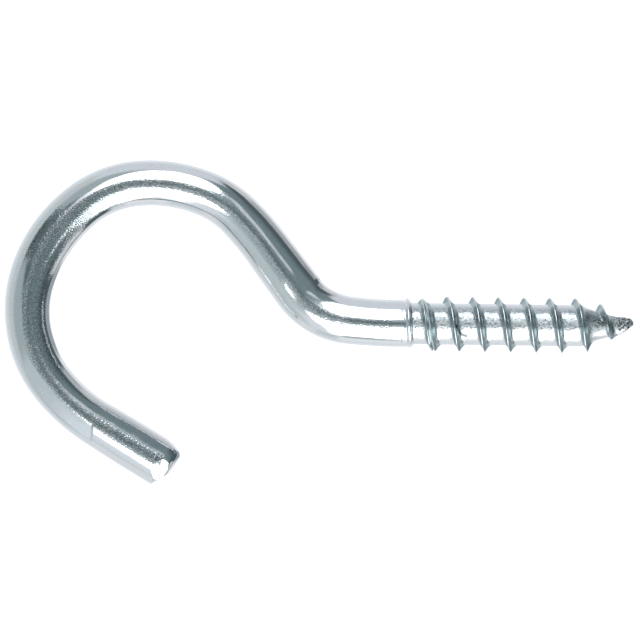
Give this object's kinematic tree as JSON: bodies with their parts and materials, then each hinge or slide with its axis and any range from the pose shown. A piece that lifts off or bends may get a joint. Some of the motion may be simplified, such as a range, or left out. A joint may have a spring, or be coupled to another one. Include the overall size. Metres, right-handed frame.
{
  "type": "screw hook",
  "caption": "Open hook of bent zinc-plated steel wire, with a rolled wood-screw thread and a blunt tapered point on its straight shank.",
  "frame": {"origin": "on the screw's axis, where the plain wire ends and the thread begins", "axes": "+X along the screw's axis towards its point; the hook lies in the XY plane with its bowl towards -X and mainly +Y; +Z is square to the hook's plane, upwards as it lies on a table"},
  "size_m": [0.0793, 0.0406, 0.0068],
  "materials": {
    "zinc_plated_steel": "bright zinc plating with a fine grain, cool grey, glossy on the wire and speckled in the thread's roots"
  },
  "bodies": {
    "root": {"screw_hook": "zinc_plated_steel"}
  },
  "joints": []
}
